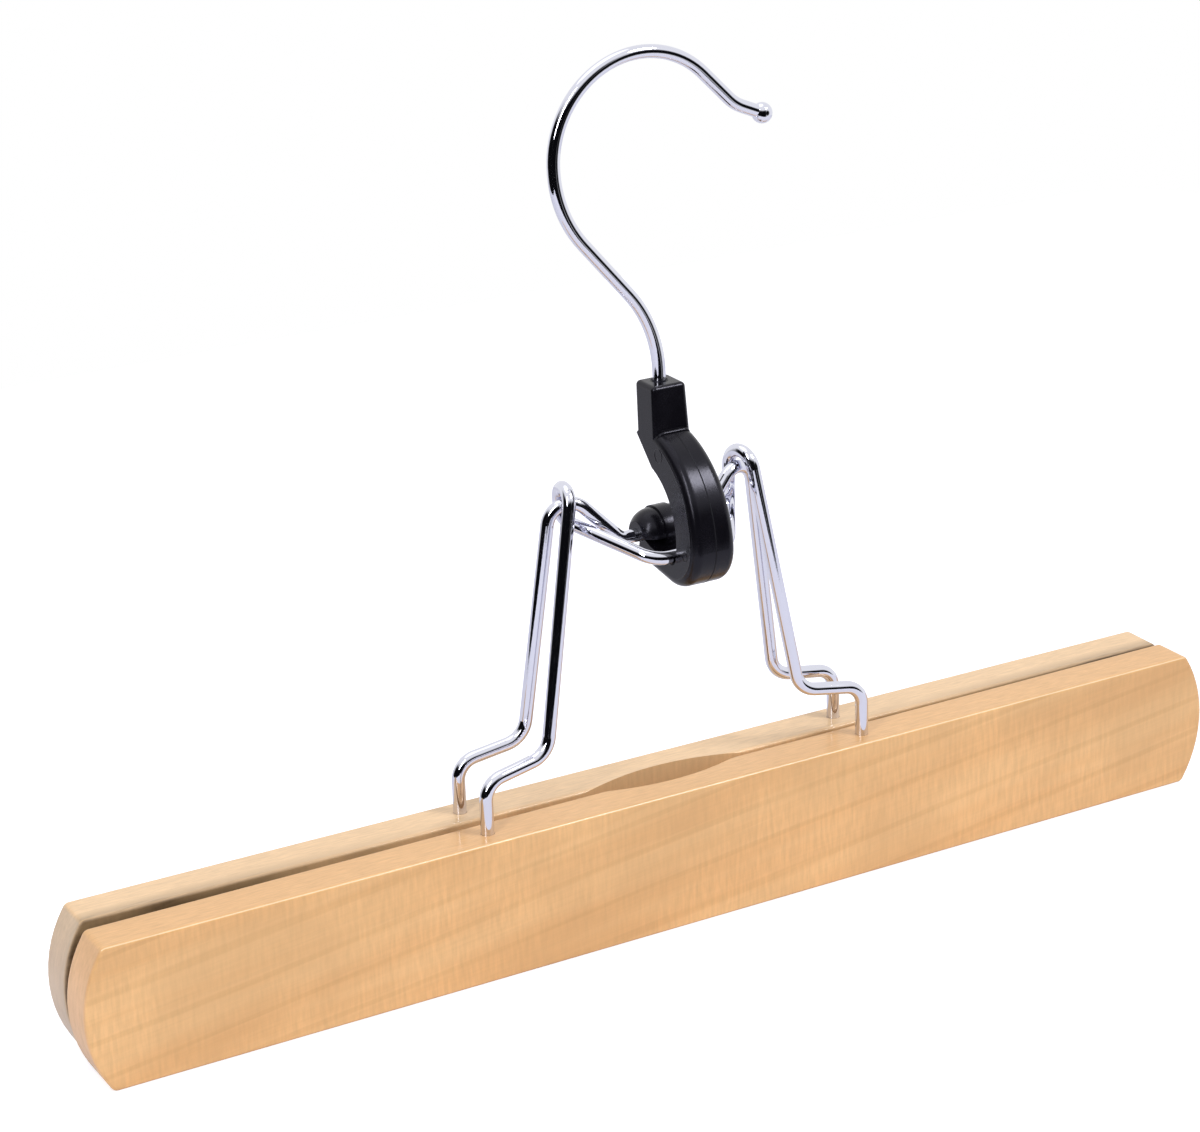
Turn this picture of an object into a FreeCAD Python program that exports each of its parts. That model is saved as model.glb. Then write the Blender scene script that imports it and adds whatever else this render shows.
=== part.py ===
import FreeCAD, Part
import math
import os
import Sketcher

# Skirt hanger: two clamp bars on crossed wire bows, closed by a cam lever under a swivel hook
# Millimetres, X along the bars, Y from front to back, Z up, bars standing on Z = 0

V = FreeCAD.Vector
doc = FreeCAD.newDocument("skirt_hanger")

# Tolerances: places that count as one, and the least volume that a cut takes away
NEAR = 0.01
SAME_POINT = 1e-6
LEAST_CUT = 1e-3

# Sizes
SIZES = [
    ("bar_length", 279.6),
    ("back_bar_trim", 2.0),
    ("bar_height", 32.0),
    ("bar_thickness", 10.0),
    ("end_rise", 5.0),
    ("corner_round", 1.6),
    ("edge_round", 0.7),
    ("gap_tight", 0.4),
    ("gap_splay", 3.2),
    ("recess_length", 41.0),
    ("recess_depth", 3.2),
    ("recess_lead", 20.0),
    ("bow_wire", 2.9),
    ("leg_spread", 47.0),
    ("leg_insert", 13.0),
    ("leg_slack", 0.04),
    ("leg_rise", 11.3),
    ("leg_bend", 4.6),
    ("shoulder_spread", 31.4),
    ("shoulder_rise", 2.4),
    ("shoulder_bend", 5.5),
    ("front_shoulder_inset", 1.3),
    ("back_shoulder_inset", 0.2),
    ("pivot_rise", 65.4),
    ("pivot_back", 2.4),
    ("pivot_slack", 0.6),
    ("crossing_spread", 21.5),
    ("crossing_shift", 0.9),
    ("back_crossing_spread", 23.8),
    ("crossing_bend", 4.7),
    ("turn_drop", 4.5),
    ("turn_bend", 3.2),
    ("catch_reach", 15.4),
    ("catch_drop", 10.3),
    ("catch_half", 8.9),
    ("catch_bend", 6.0),
    ("axle_forward", 2.7),
    ("axle_drop", 9.2),
    ("axle_half", 9.7),
    ("axle_bend", 3.2),
    ("lever_top_width", 8.0),
    ("lever_low_width", 10.7),
    ("hub_width", 3.2),
    ("lever_rise", 33.2),
    ("lever_swing", 80.0),
    ("jaw_ratio", 0.2),
    ("cam_slack", 0.35),
    ("toe_round", 9.4),
    ("toe_lift", 3.0),
    ("toe_forward", 0.25),
    ("crown_round", 22.45),
    ("nose_round", 2.0),
    ("hub_round", 5.6),
    ("axle_slack", 0.05),
    ("sleeve_length", 12.3),
    ("sleeve_round", 5.2),
    ("sleeve_bevel", 2.2),
    ("sleeve_slope", 4.0),
    ("block_front", 4.2),
    ("block_rear", 3.4),
    ("block_back_drop", 11.2),
    ("block_slant", 1.0),
    ("block_round", 1.0),
    ("stem_back", -1.0),
    ("hook_wire", 2.8),
    ("hook_radius", 20.5),
    ("hook_offset", 2.7),
    ("hook_rise", 48.4),
    ("hook_lead_radius", 26.0),
    ("hook_lead", 40.5),
    ("hook_bend", 28.0),
    ("hook_finish", 45.0),
    ("tip_run", 10.5),
    ("tip_turn", 22.2),
    ("tip_bend", 10.0),
    ("tip_length", 7.2),
    ("ball_diameter", 4.4),
    ("stem_slack", 0.05),
    ("stem_depth", 7.4),
    ("head_diameter", 4.2),
    ("head_height", 1.4),
    ("head_slack", 0.1),
    ("mouth_bevel", 0.5),
]
sheet = doc.addObject("Spreadsheet::Sheet", "Sizes")
for row, (alias, size) in enumerate(SIZES, start=1):
    sheet.set(f"A{row}", alias)
    sheet.set(f"B{row}", str(size))
    sheet.setAlias(f"B{row}", alias)
doc.recompute()


def size(alias):
    return float(getattr(sheet, alias))


def value(text):
    return float(sheet.evalExpression(text))


def cell(alias):
    return "Sizes." + alias


# Places shared by several pieces, written as formulas
MID_GAP = "(Sizes.gap_tight + Sizes.gap_splay / 2)"
BAR_OFFSET = f"({MID_GAP} / 2 + Sizes.bar_thickness / 2)"
SPLAY_ANGLE = "atan(Sizes.gap_splay / Sizes.bar_length)"
PIVOT_Z = "(Sizes.bar_height + Sizes.pivot_rise)"
AXLE_Y = "(Sizes.pivot_back - Sizes.axle_forward)"
AXLE_Z = f"({PIVOT_Z} - Sizes.axle_drop)"
CATCH_Y = "(Sizes.pivot_back - Sizes.catch_reach)"
CATCH_Z = f"({PIVOT_Z} - Sizes.catch_drop)"
BLOCK_TOP = f"({AXLE_Z} + Sizes.lever_rise)"
CRADLE = "(Sizes.bow_wire / 2 + Sizes.cam_slack)"


# Sketch and feature helpers
def origin_plane(body, role):
    return next(item for item in body.Origin.OriginFeatures if item.Role == role)


def new_sketch(body, name, role):
    sketch = body.newObject("Sketcher::SketchObject", name)
    sketch.AttachmentSupport = [(origin_plane(body, role), "")]
    sketch.MapMode = "FlatFace"
    return sketch


def pin(sketch, geometry, position, place):
    for kind, text in zip(("DistanceX", "DistanceY"), place):
        rule = Sketcher.Constraint(kind, -1, 1, geometry, position, value(text))
        index = sketch.addConstraint(rule)
        sketch.setExpression(f"Constraints[{index}]", text)


def arc_middle(start, end, radius, side):
    chord = end - start
    half = chord.Length / 2
    sagitta = radius - math.sqrt(max(radius ** 2 - half ** 2, 0.0))
    normal = V(chord.y, -chord.x, 0).normalize()
    return (start + end) / 2 + normal * (sagitta * side)


def flat_arc(start, middle, end):
    ring = Part.Circle(start, middle, end)
    centre = ring.Center
    if (middle - start).cross(end - middle).z < 0:
        start, end = end, start
    first = math.atan2(start.y - centre.y, start.x - centre.x)
    last = math.atan2(end.y - centre.y, end.x - centre.x)
    if last < first:
        last += 2 * math.pi
    return Part.ArcOfCircle(Part.Circle(centre, V(0, 0, 1), ring.Radius), first, last)


def outline(body, name, role, corners):
    # Each corner is (across, up, None) before a straight edge, (across, up, radius, side)
    # before an arc of known radius, or (across, up, via) before an arc through a third place
    sketch = new_sketch(body, name, role)
    places = [V(value(c[0]), value(c[1]), 0) for c in corners]
    count = len(corners)
    for i, corner in enumerate(corners):
        start = places[i]
        end = places[(i + 1) % count]
        if corner[2] is None:
            sketch.addGeometry(Part.LineSegment(start, end))
        elif isinstance(corner[2], tuple):
            via = V(value(corner[2][0]), value(corner[2][1]), 0)
            sketch.addGeometry(flat_arc(start, via, end))
        else:
            middle = arc_middle(start, end, value(corner[2]), corner[3])
            sketch.addGeometry(flat_arc(start, middle, end))

    def end_of(i, place):
        return 1 if (sketch.Geometry[i].StartPoint - place).Length < SAME_POINT else 2

    starts = [end_of(i, places[i]) for i in range(count)]
    for i in range(count):
        before = (i - 1) % count
        sketch.addConstraint(Sketcher.Constraint("Coincident", before, 3 - starts[before], i, starts[i]))
    for i, corner in enumerate(corners):
        pin(sketch, i, starts[i], corner[:2])
        if corner[2] is None:
            continue
        if isinstance(corner[2], tuple):
            via = V(value(corner[2][0]), value(corner[2][1]), 0)
            mark = sketch.addGeometry(Part.Point(via), True)
            pin(sketch, mark, 1, corner[2])
            sketch.addConstraint(Sketcher.Constraint("PointOnObject", mark, 1, i))
        else:
            index = sketch.addConstraint(Sketcher.Constraint("Radius", i, value(corner[2])))
            sketch.setExpression(f"Constraints[{index}]", corner[2])
    return sketch


def circles(body, name, role, centres, radius):
    sketch = new_sketch(body, name, role)
    for centre in centres:
        middle = V(value(centre[0]), value(centre[1]), 0)
        index = sketch.addGeometry(Part.Circle(middle, V(0, 0, 1), value(radius)))
        pin(sketch, index, 3, centre)
        rule = sketch.addConstraint(Sketcher.Constraint("Radius", index, value(radius)))
        sketch.setExpression(f"Constraints[{rule}]", radius)
    return sketch


def pad(body, name, sketch, length):
    feature = body.newObject("PartDesign::Pad", name)
    feature.Profile = sketch
    feature.SideType = "Symmetric"
    feature.setExpression("Length", length)
    doc.recompute()
    return feature


def cut_through(body, name, sketch):
    before = body.Shape.Volume
    feature = body.newObject("PartDesign::Pocket", name)
    feature.Profile = sketch
    feature.Type = "ThroughAll"
    feature.SideType = "Symmetric"
    doc.recompute()
    need_less(body, name, before)
    return feature


def need_less(body, name, before):
    if body.Shape.Volume > before - LEAST_CUT:
        raise RuntimeError(f"{name} took nothing away")


def dress(body, kind, name, base, edges, radius):
    feature = body.newObject(f"PartDesign::{kind}", name)
    feature.Base = (base, edges)
    feature.setExpression("Size" if kind == "Chamfer" else "Radius", radius)
    doc.recompute()
    return feature


def edges_where(feature, test):
    names = []
    for i, edge in enumerate(feature.Shape.Edges, start=1):
        middle = edge.valueAt((edge.FirstParameter + edge.LastParameter) / 2)
        if test(edge, middle):
            names.append(f"Edge{i}")
    return names


# Clamp bars: bowed ends, softened edges, a waistband recess and two leg holes
def clamp_bar(label, inner, length):
    body = doc.addObject("PartDesign::Body", label)
    body.Label = label
    half = f"({length} / 2 - Sizes.end_rise)"
    high = "Sizes.bar_height"
    chord = "(Sizes.bar_height / 2)"
    bow = f"(({chord} ^ 2 + Sizes.end_rise ^ 2) / (2 * Sizes.end_rise))"
    corners = [
        (f"-{half}", "0", None),
        (half, "0", bow, 1),
        (half, high, None),
        (f"-{half}", high, bow, 1),
    ]
    face = outline(body, f"{label}_outline", "XZ_Plane", corners)
    blank = pad(body, f"{label}_blank", face, cell("bar_thickness"))

    def across(edge, middle):
        return edge.Length < size("bar_thickness") + NEAR and abs(middle.y) < NEAR

    soft = dress(body, "Fillet", f"{label}_corners", blank, edges_where(blank, across), cell("corner_round"))

    def rim(edge, middle):
        return abs(abs(middle.y) - size("bar_thickness") / 2) < NEAR

    rounded = dress(body, "Fillet", f"{label}_edges", soft, edges_where(soft, rim), cell("edge_round"))
    body.Tip = rounded

    side = "" if inner > 0 else "-"
    face_y = "Sizes.bar_thickness / 2"
    reach = "(Sizes.recess_length / 2)"
    total = f"(({reach} ^ 2 + Sizes.recess_depth ^ 2) / (2 * Sizes.recess_depth))"
    bowl = f"({total} - Sizes.recess_lead)"
    meet_x = f"({reach} * {bowl} / {total})"
    meet_y = f"{side}({face_y} - Sizes.recess_depth + {bowl} * Sizes.recess_depth / {total})"
    level = f"{side}({face_y})"
    outside = f"{side}({face_y} + Sizes.recess_depth)"
    corners = [
        (f"-{reach}", level, "Sizes.recess_lead", -inner),
        (f"-{meet_x}", meet_y, bowl, inner),
        (meet_x, meet_y, "Sizes.recess_lead", -inner),
        (reach, level, None),
        (reach, outside, None),
        (f"-{reach}", outside, None),
    ]
    cut_through(body, f"{label}_recess", outline(body, f"{label}_recess_plan", "XY_Plane", corners))

    places = [(f"{sign}Sizes.leg_spread", "0") for sign in ("-", "")]
    plan = circles(body, f"{label}_hole_plan", "XY_Plane", places, "Sizes.bow_wire / 2 + Sizes.leg_slack")
    plan.setExpression("AttachmentOffset.Base.z", "Sizes.bar_height")
    before = body.Shape.Volume
    holes = body.newObject("PartDesign::Pocket", f"{label}_holes")
    holes.Profile = plan
    holes.setExpression("Length", "Sizes.leg_insert + Sizes.leg_slack")
    doc.recompute()
    need_less(body, f"{label}_holes", before)
    return body


front_bar = clamp_bar("front_bar", 1, "Sizes.bar_length")
front_bar.setExpression("Placement.Base.y", f"-{BAR_OFFSET}")
back_bar = clamp_bar("back_bar", -1, "(Sizes.bar_length - Sizes.back_bar_trim)")
back_bar.Placement = FreeCAD.Placement(V(0, value(BAR_OFFSET), 0), FreeCAD.Rotation(V(0, 0, -1), 1.0))
back_bar.setExpression("Placement.Base.y", BAR_OFFSET)
back_bar.setExpression("Placement.Rotation.Angle", SPLAY_ANGLE)
doc.recompute()


# Bent wire: straight runs joined by tangent arcs, each bend within its share of the runs beside it
SHARED_RUN = 0.5
RUN_IN_USE = 0.98


def bent_edges(points, bends):
    edges = []
    here = points[0]
    for i in range(1, len(points) - 1):
        back = points[i - 1] - points[i]
        ahead = points[i + 1] - points[i]
        last_bend = i == len(points) - 2
        room_ahead = ahead.Length * (1.0 if last_bend else SHARED_RUN)
        room = min((here - points[i]).Length, room_ahead)
        back.normalize()
        ahead.normalize()
        half = back.getAngle(ahead) / 2
        step = min(bends[i - 1] / math.tan(half), RUN_IN_USE * room)
        radius = step * math.tan(half)
        start = points[i] + back * step
        end = points[i] + ahead * step
        inward = (back + ahead).normalize()
        middle = points[i] + inward * (radius / math.sin(half) - radius)
        edges.append(Part.makeLine(here, start))
        edges.append(Part.Arc(start, middle, end).toShape())
        here = end
    edges.append(Part.makeLine(here, points[-1]))
    return edges


def swept_wire(name, edges, diameter):
    spine = doc.addObject("Part::Feature", f"{name}_spine")
    spine.Shape = Part.Wire(edges)
    first = spine.Shape.Edges[0]
    start = first.valueAt(first.FirstParameter)
    along = first.tangentAt(first.FirstParameter)
    ring = doc.addObject("Part::Circle", f"{name}_ring")
    ring.setExpression("Radius", f"{diameter} / 2")
    ring.Placement = FreeCAD.Placement(start, FreeCAD.Rotation(V(0, 0, 1), along))
    sweep = doc.addObject("Part::Sweep", name)
    sweep.Sections = [ring]
    sweep.Spine = (spine, [f"Edge{i + 1}" for i in range(len(edges))])
    sweep.Solid = True
    sweep.Frenet = False
    doc.recompute()
    return sweep


def mirrored(points):
    return points + [V(-p.x, p.y, p.z) for p in reversed(points)]


bar_top = size("bar_height")
bar_mid = value(BAR_OFFSET)
pivot_y = size("pivot_back")
pivot_z = value(PIVOT_Z)
loop = size("bow_wire") + size("pivot_slack")
leg_z = bar_top + size("leg_rise")
shoulder_z = leg_z + size("shoulder_rise")

# Front bow: legs, shoulders, arms, a loop over the back bow and the catch held by the lever
front_points = [
    V(size("leg_spread"), -bar_mid, bar_top - size("leg_insert")),
    V(size("leg_spread"), -bar_mid, leg_z),
    V(size("shoulder_spread"), -bar_mid + size("front_shoulder_inset"), shoulder_z),
    V(size("crossing_spread") + size("crossing_shift") / 2, pivot_y - loop, pivot_z + loop),
    V(size("crossing_spread") - size("crossing_shift") / 2, pivot_y + loop, pivot_z + loop),
    V(size("crossing_spread") - size("crossing_shift"), pivot_y + loop, pivot_z - size("turn_drop")),
    V(size("catch_half"), value(CATCH_Y), value(CATCH_Z)),
]
front_bends = [size("leg_bend"), size("shoulder_bend"), loop, loop, size("turn_bend"), size("catch_bend")]
front_bow = swept_wire(
    "front_bow",
    bent_edges(mirrored(front_points), front_bends + front_bends[::-1]),
    "Sizes.bow_wire",
)

# Back bow: legs, shoulders, arms up to the crossings and the axle that carries the lever
splay = math.radians(value(SPLAY_ANGLE))


def back_leg(side, height):
    spread = size("leg_spread")
    return V(side * spread * math.cos(splay), bar_mid - side * spread * math.sin(splay), height)


# The rounded top of each crossing lies on the pivot line, so its corner is settled step by step
SETTLING_STEPS = 40


def back_half(lean, lift):
    return [
        V(size("shoulder_spread"), bar_mid - size("back_shoulder_inset"), shoulder_z),
        V(size("back_crossing_spread"), pivot_y + lean, pivot_z + lift),
        V(size("axle_half"), value(AXLE_Y), value(AXLE_Z)),
    ]


def crossing_top(lean, lift):
    below, corner, axle = back_half(lean, lift)
    down = (below - corner).normalize()
    away = (axle - corner).normalize()
    inward = (down + away).normalize()
    flat = down.cross(away).normalize()
    upward = (V(0, 0, 1) - flat * flat.z).normalize()
    reach = size("crossing_bend") / math.sin(down.getAngle(away) / 2)
    return corner + inward * reach + upward * size("crossing_bend")


lean = 0.0
lift = size("crossing_bend")
for _ in range(SETTLING_STEPS):
    top = crossing_top(lean, lift)
    lean += pivot_y - top.y
    lift += pivot_z - top.z
back_path = [back_leg(1, bar_top - size("leg_insert")), back_leg(1, leg_z)]
back_path += mirrored(back_half(lean, lift))
back_path += [back_leg(-1, leg_z), back_leg(-1, bar_top - size("leg_insert"))]
back_bends = [size("leg_bend"), size("shoulder_bend"), size("crossing_bend"), size("axle_bend")]
back_bow = swept_wire("back_bow", bent_edges(back_path, back_bends + back_bends[::-1]), "Sizes.bow_wire")


# Cam lever: the arm's inner edge follows the catch as the jaws open, hinged on the axle
def cam_place(turn):
    open_by = f"(Sizes.jaw_ratio * {turn})"
    across = f"(-Sizes.catch_reach * cos({open_by}) - Sizes.catch_drop * sin({open_by}) + Sizes.axle_forward)"
    up = f"(Sizes.catch_reach * sin({open_by}) - Sizes.catch_drop * cos({open_by}) + Sizes.axle_drop)"
    grow = f"(1 + {CRADLE} / sqrt({across} ^ 2 + {up} ^ 2))"
    return (
        f"{AXLE_Y} + {grow} * ({across} * cos({turn}) + {up} * sin({turn}))",
        f"{AXLE_Z} + {grow} * ({up} * cos({turn}) - {across} * sin({turn}))",
    )


# Where the arm's underside leaves the hub, in hub radii, and where the cam edge is tied to the swing
UNDERSIDE_FORWARD = 0.75
UNDERSIDE_DROP = 0.27
CAM_NEAR = 0.4
CAM_FAR = 0.8
TOE_Z = f"({CATCH_Z} + Sizes.toe_lift)"
TOE_Y = f"({CATCH_Y} - Sizes.toe_forward)"
CROWN_Y = f"({TOE_Y} - Sizes.toe_round + Sizes.crown_round)"
BLOCK_FRONT = "(Sizes.stem_back - Sizes.block_front)"
BLOCK_BACK = "(Sizes.stem_back + Sizes.block_rear)"
HEEL_RUN = f"({AXLE_Y} - {TOE_Y})"
HEEL_LIFT = f"({AXLE_Z} - {TOE_Z})"
HEEL_STEP = f"((Sizes.toe_round - Sizes.hub_round) / sqrt({HEEL_RUN} ^ 2 + {HEEL_LIFT} ^ 2))"
HEEL_SLOPE = f"(asin({HEEL_STEP}) + atan({HEEL_LIFT} / {HEEL_RUN}))"
SLOPE_SIN = f"sin({HEEL_SLOPE})"
SLOPE_COS = f"cos({HEEL_SLOPE})"
FRONT_FOOT = f"({BLOCK_FRONT} - Sizes.block_slant)"
BACK_FOOT = (f"{BLOCK_BACK} - Sizes.block_slant", f"{BLOCK_TOP} - Sizes.block_back_drop")


def crown_height(across):
    return f"({TOE_Z} + sqrt(Sizes.crown_round ^ 2 - ({across} - {CROWN_Y}) ^ 2))"


toe_end = (f"{TOE_Y} + Sizes.toe_round * {SLOPE_SIN}", f"{TOE_Z} - Sizes.toe_round * {SLOPE_COS}")
hub_low = (f"{AXLE_Y} + Sizes.hub_round * {SLOPE_SIN}", f"{AXLE_Z} - Sizes.hub_round * {SLOPE_COS}")
hub_front = (
    f"{AXLE_Y} - {UNDERSIDE_FORWARD} * Sizes.hub_round",
    f"{AXLE_Z} - {UNDERSIDE_DROP} * Sizes.hub_round",
)
cradle_low = (f"{CATCH_Y} + {CRADLE} * {SLOPE_SIN}", f"{CATCH_Z} - {CRADLE} * {SLOPE_COS}")
far_turn = f"({CAM_FAR} * Sizes.lever_swing)"
near_turn = f"({CAM_NEAR} * Sizes.lever_swing)"
arm_corners = [
    ("Sizes.stem_back", crown_height("Sizes.stem_back"), "Sizes.crown_round", 1),
    (f"{TOE_Y} - Sizes.toe_round", TOE_Z, "Sizes.toe_round", 1),
    toe_end + (None,),
    hub_low + (None,),
    (AXLE_Y, AXLE_Z, None),
    hub_front + (None,),
    cradle_low + (CRADLE, -1),
    cam_place("0") + (cam_place(near_turn),),
    cam_place(far_turn) + (None,),
    BACK_FOOT + (None,),
]
block_corners = [
    (BLOCK_BACK, BLOCK_TOP, None),
    (BLOCK_FRONT, BLOCK_TOP, None),
    (FRONT_FOOT, f"{crown_height(FRONT_FOOT)} - Sizes.nose_round", None),
    BACK_FOOT + (None,),
]
lever = doc.addObject("PartDesign::Body", "cam_lever")
lever.Label = "cam_lever"
toe_centre = V(0, value(TOE_Y), value(TOE_Z))
crown_centre = V(0, value(CROWN_Y), value(TOE_Z))
LEVER_LOW = f"({TOE_Z} - Sizes.toe_round)"


# The lever narrows evenly from its toe to the top of its block
def tapered_plate(body, name, corners):
    face = outline(body, f"{name}_outline", "YZ_Plane", corners)
    plate = pad(body, f"{name}_plate", face, cell("lever_low_width"))
    for side, hand in (("", "right"), ("-", "left")):
        wedge = [
            (f"{side}(Sizes.lever_top_width / 2)", BLOCK_TOP, None),
            (f"{side}(Sizes.lever_low_width / 2)", LEVER_LOW, None),
            (f"{side}(Sizes.lever_low_width)", LEVER_LOW, None),
            (f"{side}(Sizes.lever_low_width)", BLOCK_TOP, None),
        ]
        plan = outline(body, f"{name}_{hand}_wedge", "XZ_Plane", wedge)
        plate = cut_through(body, f"{name}_{hand}_taper", plan)
    return plate


def on_nose(edge, middle):
    if abs(middle.x) < size("lever_top_width") / 4:
        return False
    flat = V(0, middle.y, middle.z)
    on_toe = abs((flat - toe_centre).Length - size("toe_round")) < NEAR
    return on_toe or abs((flat - crown_centre).Length - size("crown_round")) < NEAR


arm = tapered_plate(lever, "arm", arm_corners)
lever.Tip = dress(lever, "Fillet", "arm_nose", arm, edges_where(arm, on_nose), cell("nose_round"))

# The block stands on the arm with its foot sunk as deep as the nose is rounded
UPRIGHT_SHARE = 0.9


def on_block(edge, middle):
    upright = edge.BoundBox.ZLength > UPRIGHT_SHARE * edge.Length
    return upright or abs(middle.z - value(BLOCK_TOP)) < NEAR


block = doc.addObject("PartDesign::Body", "lever_block")
stump = tapered_plate(block, "block", block_corners)
block.Tip = dress(block, "Fillet", "block_edges", stump, edges_where(stump, on_block), cell("block_round"))
joined = lever.newObject("PartDesign::Boolean", "arm_and_block")
joined.Type = "Fuse"
joined.setObjects([block])
lever.Tip = joined
doc.recompute()
axle = [(AXLE_Y, AXLE_Z)]
pad(lever, "lever_hub", circles(lever, "hub_plan", "YZ_Plane", axle, cell("hub_round")), cell("hub_width"))
END = "(Sizes.sleeve_length / 2)"
SHOULDER = "(Sizes.sleeve_length / 2 - Sizes.sleeve_slope)"
RIM = "(Sizes.sleeve_round - Sizes.sleeve_bevel)"
DOME = "((Sizes.sleeve_slope ^ 2 + Sizes.sleeve_bevel ^ 2) / (2 * Sizes.sleeve_bevel))"
corners = [
    (f"-{END}", "0", None),
    (END, "0", None),
    (END, RIM, DOME, 1),
    (SHOULDER, "Sizes.sleeve_round", None),
    (f"-{SHOULDER}", "Sizes.sleeve_round", DOME, 1),
    (f"-{END}", RIM, None),
]
sleeve_plan = outline(lever, "sleeve_plan", "XZ_Plane", corners)
sleeve_plan.setExpression("AttachmentOffset.Base.y", AXLE_Z)
sleeve_plan.setExpression("AttachmentOffset.Base.z", f"-{AXLE_Y}")
sleeve = lever.newObject("PartDesign::Revolution", "lever_sleeve")
sleeve.Profile = sleeve_plan
sleeve.ReferenceAxis = (sleeve_plan, ["H_Axis"])
sleeve.Midplane = True
sleeve.Angle = 180
doc.recompute()
bore = circles(lever, "bore_plan", "YZ_Plane", axle, "Sizes.bow_wire / 2 + Sizes.axle_slack")
cut_through(lever, "lever_bore", bore)


# Stem socket: a plain bore with a wider chamber below for the headed stem
def sunk(name, radius, top, depth):
    plan = circles(lever, f"{name}_plan", "XY_Plane", [("0", "Sizes.stem_back")], radius)
    plan.setExpression("AttachmentOffset.Base.z", top)
    before = lever.Shape.Volume
    feature = lever.newObject("PartDesign::Pocket", name)
    feature.Profile = plan
    feature.setExpression("Length", depth)
    doc.recompute()
    need_less(lever, name, before)
    return feature


CHAMBER = "(Sizes.head_height + 2 * Sizes.head_slack)"
sunk("stem_socket", "Sizes.hook_wire / 2 + Sizes.stem_slack", BLOCK_TOP, "Sizes.stem_depth")
chamber_top = f"{BLOCK_TOP} - Sizes.stem_depth + {CHAMBER}"
chamber = sunk("stem_chamber", "Sizes.head_diameter / 2 + Sizes.head_slack", chamber_top, CHAMBER)


def on_mouth(edge, middle):
    at_top = abs(middle.z - value(BLOCK_TOP)) < NEAR
    return at_top and abs(edge.Length - math.pi * (size("hook_wire") + 2 * size("stem_slack"))) < NEAR


mouth = edges_where(chamber, on_mouth)
lever.Tip = dress(lever, "Chamfer", "stem_mouth", chamber, mouth, cell("mouth_bevel"))

# Swivel hook: headed stem, lead-in, round bow, turned-out tip and ball
stem_y = size("stem_back")
block_top = value(BLOCK_TOP)
stem_low = block_top - size("stem_depth") + size("head_slack")


def hook_place(across, up):
    return V(across, stem_y, up)


lead = math.radians(size("hook_lead"))
finish = math.radians(size("hook_finish"))
radius = size("hook_radius")
middle = hook_place(-size("hook_offset"), block_top + size("hook_rise"))
lead_radius = size("hook_lead_radius")
widest = middle + V(-radius, 0, 0)
lead_middle = widest + V(lead_radius, 0, 0)
enter = lead_middle + V(-lead_radius * math.cos(lead), 0, -lead_radius * math.sin(lead))
easing = lead_middle + V(-lead_radius * math.cos(lead / 2), 0, -lead_radius * math.sin(lead / 2))
over = middle + V(0, 0, radius)
leave = middle + V(radius * math.cos(finish), 0, radius * math.sin(finish))
lead_corner = hook_place(0, enter.z + enter.x / math.tan(lead))
out_corner = leave + V(math.sin(finish), 0, -math.cos(finish)) * size("tip_run")
aim = math.pi / 2 - finish - math.radians(size("tip_turn"))
tip = out_corner + V(math.cos(aim), 0, -math.sin(aim)) * size("tip_length")
hook_edges = bent_edges([hook_place(0, stem_low), lead_corner, enter], [size("hook_bend")])
hook_edges.append(Part.Arc(enter, easing, widest).toShape())
hook_edges.append(Part.Arc(widest, over, leave).toShape())
hook_edges += bent_edges([leave, out_corner, tip], [size("tip_bend")])
hook_rod = swept_wire("hook_rod", hook_edges, "Sizes.hook_wire")
stem_head = doc.addObject("Part::Cylinder", "stem_head")
stem_head.setExpression("Radius", "Sizes.head_diameter / 2")
stem_head.setExpression("Height", "Sizes.head_height")
stem_head.Placement.Base = hook_place(0, stem_low)
ball = doc.addObject("Part::Sphere", "hook_ball")
ball.setExpression("Radius", "Sizes.ball_diameter / 2")
ball.Placement.Base = tip
hook = doc.addObject("Part::MultiFuse", "swivel_hook")
hook.Shapes = [hook_rod, stem_head, ball]
hook.Label = "swivel_hook"
doc.recompute()

# Every piece is checked and written
for item in doc.Objects:
    if "Invalid" in item.State or "Error" in item.State:
        raise RuntimeError(f"{item.Label} did not build")
os.makedirs("parts", exist_ok=True)
for piece in (front_bar, back_bar, front_bow, back_bow, lever, hook):
    shape = piece.Shape
    if shape.isNull() or not shape.isValid() or len(shape.Solids) != 1:
        raise RuntimeError(f"{piece.Label} is not one sound solid")
    shape.exportStep(f"parts/{piece.Label}.step")
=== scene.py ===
import math

import bmesh
import bpy
from bpy.props import FloatProperty, FloatVectorProperty, PointerProperty
from bpy.types import Operator, Panel, PropertyGroup
from mathutils import Matrix, Vector


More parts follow.
